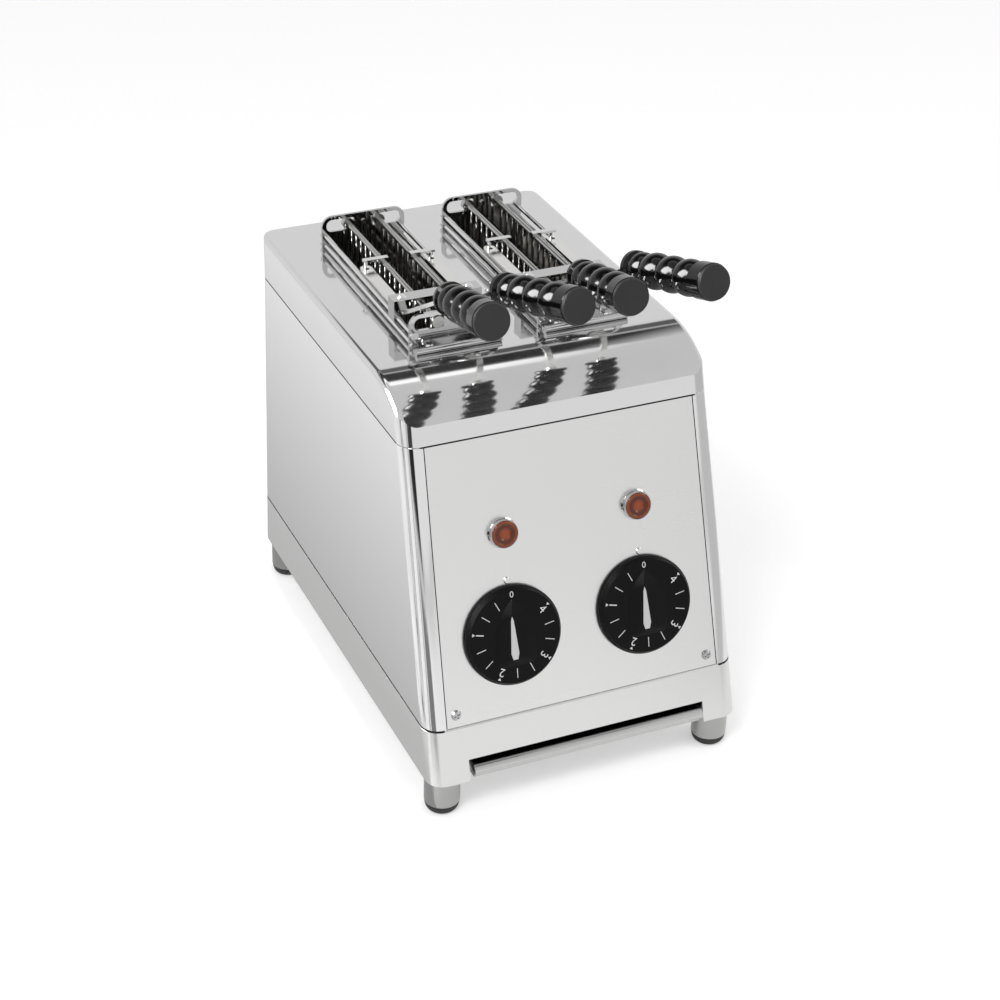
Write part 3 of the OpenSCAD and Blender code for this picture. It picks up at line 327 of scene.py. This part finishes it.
# The crumb tray: thin bright sheet with folded walls and a rolled lip, loose on the runners
# of the base. The lip is brushed along its length.
tray_bright = brushed("tray_bright", (0.56, 0.56, 0.555), 0.24, (25, 1200, 1200))
dress(tray_bright, node["crumb_tray"])


# The wrap: two sides of polished stainless sheet, turned round the front corners into flanges,
# with a back panel riveted between them. Brushed lightly up and down, nearly a mirror.
wrap_polish = brushed("wrap_polish", (0.77, 0.77, 0.77), 0.07, (900, 900, 14), 0.03, 0.003, 0.015)
dress(wrap_polish, node["body_wrap"], node["back_panel"])


# Inside the housing: two bulkheads of plain sheet, quartz heaters with ceramic ends, bright
# reflectors and wire guards, all a little browned by heat. The sheets and reflectors are much
# darker than plain steel: partly painted shade for the deep slots.
# Painted shade in part: a dark tone for the inside of the slots
inner_sheet = brushed("inner_sheet", (0.2, 0.195, 0.19), 0.35, (300, 300, 40), 0.15)
dress(inner_sheet, node["front_bulkhead"], node["rear_bulkhead"], node["slot_guards"])
bright_sheet = brushed("bright_sheet", (0.3, 0.295, 0.285), 0.25, (300, 20, 300))
dress(bright_sheet, node["reflectors"])
milky_quartz, quartz = new_finish("milky_quartz")
place = quartz.node("TexCoord", out="Object")
wound = quartz.node("TexWave", {"bands_direction": "Y"}, {
    "Vector": place, "Scale": 160.0, "Distortion": 0.0})
close_finish(quartz.node("BsdfPrincipled", {}, {
    "Base Color": quartz.node("Mix", {"data_type": "RGBA"}, {
        0: wound, 6: (0.3, 0.28, 0.25, 1), 7: (0.45, 0.43, 0.4, 1)}, out=2),
    "Roughness": 0.12 + 0.1 * wound, "Coat Weight": 0.4}))
dress(milky_quartz, node["heater_tubes"])
white_ceramic, clay = new_finish("white_ceramic")
place = clay.node("TexCoord", out="Object")
speck = clay.node("TexNoise", {}, {"Vector": place, "Scale": 700.0, "Detail": 2.0})
close_finish(clay.node("BsdfPrincipled", {}, {
    "Base Color": clay.node("Mix", {"data_type": "RGBA"}, {
        0: speck, 6: (0.62, 0.59, 0.53, 1), 7: (0.72, 0.7, 0.65, 1)}, out=2),
    "Roughness": 0.3 + 0.2 * speck}))
dress(white_ceramic, node["heater_caps"])


# The cord gland: a black moulded nylon bush, pressed into the back panel and bored for a
# mains lead.
def moulded(name, tone, dull, grain, sheen=0.5, depth=0.15):
    # grain is how fine the texture is and depth its relief; dull is the roughness, sheen the gloss
    made, plastic = new_finish(name)
    place = plastic.node("TexCoord", out="Object")
    spark = plastic.node("TexNoise", {}, {"Vector": place, "Scale": grain, "Detail": 3.0})
    wear = plastic.node("TexNoise", {}, {"Vector": place, "Scale": 35.0, "Detail": 4.0})
    low, high = (tuple(f * c for c in tone) + (1,) for f in (0.8, 1.35))
    spark_share, wear_share = 0.12, 0.1
    close_finish(plastic.node("BsdfPrincipled", {}, {
        "Base Color": plastic.node("Mix", {"data_type": "RGBA"}, {0: wear, 6: low, 7: high}, out=2),
        "Roughness": dull + (spark - 0.5) * spark_share + (wear - 0.5) * wear_share,
        "Specular IOR Level": sheen,
        "Normal": plastic.node("Bump", {}, {"Strength": depth, "Distance": 0.0002, "Height": spark})}))
    return made


gland_nylon = moulded("gland_nylon", (0.02, 0.02, 0.02), 0.45, 1200.0)
dress(gland_nylon, node["cord_gland"])


# The front panel: one flat sheet let into the front, satin brushed from side to side, held
# by two cross-head screws at its foot. A small dot is pressed out above each dial.
panel_satin = brushed("panel_satin", (0.76, 0.76, 0.755), 0.28, (18, 3200, 3200), 0.03, 0.0008, 0.006)
dress(panel_satin, node["front_panel"])
screw_steel = brushed("screw_steel", (0.5, 0.5, 0.5), 0.22, (500, 500, 500))
dress(screw_steel, node["panel_screws"])


# The seams: black sealing cord pressed into the grooves above and below the wrap and into the
# gap on each side of the panel. It is soft and matte, and a hair proud of the steel round the wrap.
lean = math.radians(16.2)
panel_out = Vector((0, -math.cos(lean), math.sin(lean)))
panel_up = Vector((0, math.sin(lean), math.cos(lean)))


def corners(name):
    return [node[name].matrix_world @ v.co for v in node[name].data.vertices]


wrap, panel = corners("body_wrap"), corners("front_panel")
low_seam, high_seam = min(p.z for p in wrap), max(p.z for p in wrap)
back_wall = max(p.y for p in wrap)
front_plane = max(p.dot(panel_out) for p in wrap)


def front_at(z):
    return (math.sin(lean) * z - front_plane) / math.cos(lean)


def cord_round(mesh, half, bottom, top, bare, bend=0.011, steps=8):
    # Stretches are counted from the back right bend: 0 bend, 1 straight, 2 bend and so on;
    # bare ones get no cord
    proud, sunk = -0.00005, 0.0004
    loops = []
    for z, inset in ((bottom, proud), (top, proud), (top, sunk), (bottom, sunk)):
        loop = []
        for sx, sy, start in ((1, 1, 0), (-1, 1, 90), (-1, -1, 180), (1, -1, 270)):
            edge = back_wall - inset if sy > 0 else front_at(z) + inset
            middle = Vector((sx * (half - inset - bend), edge - sy * bend, z))
            for k in range(steps + 1):
                a = math.radians(start + 90 * k / steps)
                loop.append(mesh.verts.new(middle + bend * Vector((math.cos(a), math.sin(a), 0))))
        loops.append(loop)
    for a, b in zip(loops, loops[1:] + loops[:1]):
        for k in range(len(a)):
            stretch = 2 * (k // (steps + 1)) + (k % (steps + 1) == steps)
            if stretch not in bare:
                m = (k + 1) % len(a)
                mesh.faces.new((a[k], a[m], b[m], b[k]))
    bmesh.ops.delete(mesh, geom=[v for v in mesh.verts if not v.link_faces], context="VERTS")
    bmesh.ops.holes_fill(mesh, edges=mesh.edges)


def new_piece(name, mesh, finish, body):
    bmesh.ops.recalc_face_normals(mesh, faces=mesh.faces)
    data = bpy.data.meshes.new(name)
    mesh.to_mesh(data)
    mesh.free()
    data.materials.append(finish)
    piece = bpy.data.objects.new(name, data)
    bpy.context.scene.collection.objects.link(piece)
    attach(piece, body)
    smooth_edges(piece)
    return piece


seam_cord = moulded("seam_cord", (0.012, 0.012, 0.012), 0.6, 900.0, 0.15)
cord_mesh = bmesh.new()
high_under, low_under, low_over = 0.0009, 0.0005, 0.0007
cord_round(cord_mesh, max(p.x for p in corners("top_cover")), high_seam - high_under, high_seam, (4, 6))
cord_round(cord_mesh, max(p.x for p in wrap), low_seam - low_under, low_seam + low_over, (5,))
ends = [min(p.dot(panel_up) for p in panel), max(p.dot(panel_up) for p in panel)]
inner, outer = 0.00005, 0.00055
shallow, deepest = 0.0004, 0.001
for s in (-1, 1):
    loops = []
    for end in ends:
        edge = max(s * p.x for p in panel if abs(p.dot(panel_up) - end) < 0.001)
        loops.append([cord_mesh.verts.new(
            Vector((s * (edge + across), 0, 0)) + panel_up * end + panel_out * (front_plane - deep))
            for across, deep in ((inner, shallow), (outer, shallow), (outer, deepest), (inner, deepest))])
    for k in range(4):
        m = (k + 1) % 4
        cord_mesh.faces.new((loops[0][k], loops[0][m], loops[1][m], loops[1][k]))
    for loop in loops:
        cord_mesh.faces.new(loop)
new_piece("sealing_cord", cord_mesh, seam_cord, "housing")


# The lamps: a chrome cup with a sloped foot, pressed into the panel, and a stepped amber lens
# snapped into it. The lens is clear plastic over a dark socket; it is drawn opaque, with painted light at
# its middle and rim and a ring of painted shade between.
lamp_chrome = brushed("lamp_chrome", (0.5, 0.5, 0.5), 0.08, (200, 200, 200), 0.04, 0.01)
dress(lamp_chrome, node["lamp_bezels"])


def on_panel(place):
    # x to the right, y up the panel, z straight out of it
    ways = Matrix((Vector((1, 0, 0)), panel_up, panel_out))
    return Matrix.Translation(place) @ ways.transposed().to_4x4()


def lathe(mesh, profile, steps, matrix):
    # Turn a list of (radius, height) about the local z axis; the ends on the axis are closed
    rings = []
    for r, z in profile:
        if r < 1e-6:
            rings.append([mesh.verts.new(matrix @ Vector((0, 0, z)))])
        else:
            turns = [math.tau * k / steps for k in range(steps)]
            ring = [Vector((r * math.cos(a), r * math.sin(a), z)) for a in turns]
            rings.append([mesh.verts.new(matrix @ p) for p in ring])
    for a, b in zip(rings, rings[1:]):
        for k in range(steps):
            m = (k + 1) % steps
            if len(a) == 1 and len(b) > 1:
                mesh.faces.new((a[0], b[k], b[m]))
            elif len(b) == 1 and len(a) > 1:
                mesh.faces.new((a[k], b[0], a[m]))
            else:
                mesh.faces.new((a[k], b[k], b[m], a[m]))


def middle_on_panel(name, s):
    # Where the axis of a round piece, or of its half on one side, meets the panel
    points = [p for p in corners(name) if s * p.x > 0]
    x, up = [p.x for p in points], [p.dot(panel_up) for p in points]
    sideways, upward = (min(x) + max(x)) / 2, (min(up) + max(up)) / 2
    return Vector((sideways, 0, 0)) + panel_up * upward + panel_out * front_plane


amber_lens, amber = new_finish("amber_lens")
place = amber.node("TexCoord", out="Object")
grain = amber.node("TexNoise", {}, {"Vector": place, "Scale": 420.0, "Detail": 2.0})
x, y, z = (amber.node("SeparateXYZ", {}, {0: place}, out=k) for k in range(3))
lamp_axis = middle_on_panel("lamp_lenses", 1)
sideways = amber.sum("ABSOLUTE", x, 0) - lamp_axis.x
upward = y * math.sin(lean) + z * math.cos(lean) - lamp_axis.dot(panel_up)
radius = (sideways * sideways + upward * upward) ** 0.5
# The colour goes by the distance from the lamp's axis, in centimetres, with a little grain: painted light
# at the middle and rim, painted shade in the ring between
to_cm, unrest = 100, 0.06
lens_light_and_shade = amber.node("ValToRGB", {"stops": (
    (0.0, (0.31, 0.062, 0.016)), (0.28, (0.26, 0.052, 0.014)), (0.42, (0.1, 0.025, 0.011)),
    (0.58, (0.1, 0.025, 0.011)), (0.68, (0.22, 0.05, 0.014)), (0.85, (0.24, 0.05, 0.014)))},
    {0: radius * to_cm + (grain - 0.5) * unrest})
close_finish(amber.node("BsdfPrincipled", {}, {
    "Base Color": lens_light_and_shade, "Roughness": 0.07 + 0.05 * grain, "Specular IOR Level": 0.35}))
# Radius and height in millimetres: stem, rim, a dished ring, an inner ring and a low crown
lens_profile = (
    (0, -7), (4.8, -7), (4.8, 1.6), (8.2, 1.6),
    (8.2, 3.9), (8.0, 4.4), (7.6, 4.8), (7.0, 5.0), (6.5, 4.9), (6.1, 4.6),
    (5.6, 4.35), (5.0, 4.4), (4.4, 4.7), (3.9, 4.75), (3.4, 4.5), (3.0, 4.2),
    (2.5, 4.2), (1.4, 4.35), (0, 4.4))
lens_sides = 48
lens_mesh = bmesh.new()
for s in (-1, 1):
    lens_foot = on_panel(middle_on_panel("lamp_lenses", s))
    lathe(lens_mesh, [(r / 1000, z / 1000) for r, z in lens_profile], lens_sides, lens_foot)
lens = new_piece("amber_lenses", lens_mesh, amber_lens, "housing")
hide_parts("lamp_lenses")


# The timers: a plain aluminium case behind the panel, a steel shaft through its bush and a
# black moulded dial pressed on the shaft, with a metal leaf on the crest of its grip.
timer_case = brushed("timer_case", (0.5, 0.5, 0.52), 0.4, (200, 200, 200))
dress(timer_case, node["left_timer"], node["right_timer"])
shaft_steel = brushed("shaft_steel", (0.55, 0.55, 0.55), 0.25, (900, 900, 900))
dress(shaft_steel, node["left_shaft"], node["right_shaft"])
dial_black = moulded("dial_black", (0.005, 0.005, 0.0052), 0.4, 1500.0, 0.09, 0.06)
dress(dial_black, node["left_knob"], node["right_knob"])
leaf_metal = brushed("leaf_metal", (0.6, 0.6, 0.595), 0.3, (1500, 30, 30))
dress(leaf_metal, node["left_inlay"], node["right_inlay"])

# The printed scale: numbers, strokes and rim arrows in white ink, run round the face
# against the clock, each number upright when it comes to the top
scale_ink, ink = new_finish("scale_ink")
place = ink.node("TexCoord", out="Object")
worn = ink.node("TexNoise", {}, {"Vector": place, "Scale": 1400.0, "Detail": 2.0})
close_finish(ink.node("BsdfPrincipled", {}, {
    "Base Color": ink.node("Mix", {"data_type": "RGBA"}, {
        0: worn, 6: (0.55, 0.55, 0.55, 1), 7: (0.8, 0.8, 0.8, 1)}, out=2),
    "Roughness": 0.5 + 0.2 * worn}))
zero_size, digit_size = 0.0054, 0.0074
digits = {}
for mark in "01234":
    glyph = bpy.data.curves.new("digit_" + mark, "FONT")
    glyph.body = mark
    glyph.size = zero_size if mark == "0" else digit_size
    glyph.align_x = glyph.align_y = "CENTER"
    holder = bpy.data.objects.new("digit_" + mark, glyph)
    bpy.context.scene.collection.objects.link(holder)
    bpy.context.view_layer.update()
    shape = holder.evaluated_get(bpy.context.evaluated_depsgraph_get()).to_mesh()
    digits[mark] = ([v.co.copy() for v in shape.vertices], [list(p.vertices) for p in shape.polygons])
    bpy.data.objects.remove(holder)
# The print lies face_up above the panel. The rings are the radii of its marks, from the dial's axis
face_up = 0.00555
mark_ring, zero_ring = 0.0229, 0.0263
stroke_half, stroke_in, stroke_out = 0.00024, mark_ring - 0.0031, mark_ring + 0.0031
arrow_half, arrow_tip, arrow_root = 0.0011, 0.0264, 0.0281
full_turn, marks = 305, 12
for s, hand in ((-1, "left"), (1, "right")):
    scale_mesh = bmesh.new()
    dial_foot = on_panel(middle_on_panel(hand + "_knob", s))
    for k in range(marks + 1):
        spin = dial_foot @ Matrix.Rotation(math.radians(full_turn * k / marks), 4, "Z")
        shapes = []
        if k % 3:
            shapes.append(([(-stroke_half, stroke_in), (stroke_half, stroke_in),
                            (stroke_half, stroke_out), (-stroke_half, stroke_out)], [(0, 1, 2, 3)]))
        else:
            points, polygons = digits[str(k // 3)]
            shapes.append(([(p.x, p.y + (mark_ring if k else zero_ring)) for p in points], polygons))
            if k:
                arrow = [(-arrow_half, arrow_root), (arrow_half, arrow_root), (0, arrow_tip)]
                shapes.append((arrow, [(0, 1, 2)]))
        for points, polygons in shapes:
            made = [scale_mesh.verts.new(spin @ Vector((x, y, face_up))) for x, y in points]
            for polygon in polygons:
                scale_mesh.faces.new([made[i] for i in polygon])
    new_piece(hand + "_dial_scale", scale_mesh, scale_ink, hand + "_dial")


# The cover: one pressed sheet with a curved nose, mirror polished, set on top of the wrap.
# Only a faint swirl and a little haze from the polishing wheel are left in it.
cover_mirror = brushed("cover_mirror", (0.72, 0.72, 0.72), 0.075, (60, 60, 60), 0.03, 0.002, 0.02, 0.96)
dress(cover_mirror, node["top_cover"], angle=27)


# The tongs: end plates, bridge and arms of stamped steel, wire combs welded to their rods,
# bright drawn rails and pins, small torsion springs. All of it is tumbled bright, and it
# slides down the slots as one piece that lifts out by its handles.
plate_steel = brushed("plate_steel", (0.56, 0.56, 0.56), 0.06, (300, 300, 300), 0.05, 0.01)
comb_wire = brushed("comb_wire", (0.42, 0.418, 0.41), 0.16, (400, 400, 60), 0.12)
rail_bright = brushed("rail_bright", (0.7, 0.7, 0.7), 0.09, (400, 30, 400), 0.06, 0.01)
arm_steel = brushed("arm_steel", (0.76, 0.755, 0.74), 0.16, (600, 25, 600), 0.08, 0.02)
for hand in ("left_tong_", "right_tong_"):
    dress(plate_steel, node[hand + "rear_plate"], node[hand + "front_plate"], node[hand + "bridge"])
    dress(rail_bright, node[hand + "rails"], node[hand + "pins"], node[hand + "springs"])
    for edge in ("left_", "right_"):
        dress(comb_wire, node[hand + edge + "jaw"])
        dress(rail_bright, node[hand + edge + "clip"])
        dress(arm_steel, node[hand + edge + "arm"])


# The grips: black phenolic with a flange at the root, a low bulge and three full ones, and a
# flat cap on the end. The grips are polished, the caps are matte.
grip_black = moulded("grip_black", (0.004, 0.004, 0.004), 0.1, 700.0, 0.28, 0.01)
cap_grey = moulded("cap_grey", (0.03, 0.03, 0.03), 0.55, 1600.0, 0.2, 0.1)
for hand in ("left_tong_", "right_tong_"):
    for edge in ("left_", "right_"):
        dress(grip_black, node[hand + edge + "grip"])
        dress(cap_grey, node[hand + edge + "cap"])
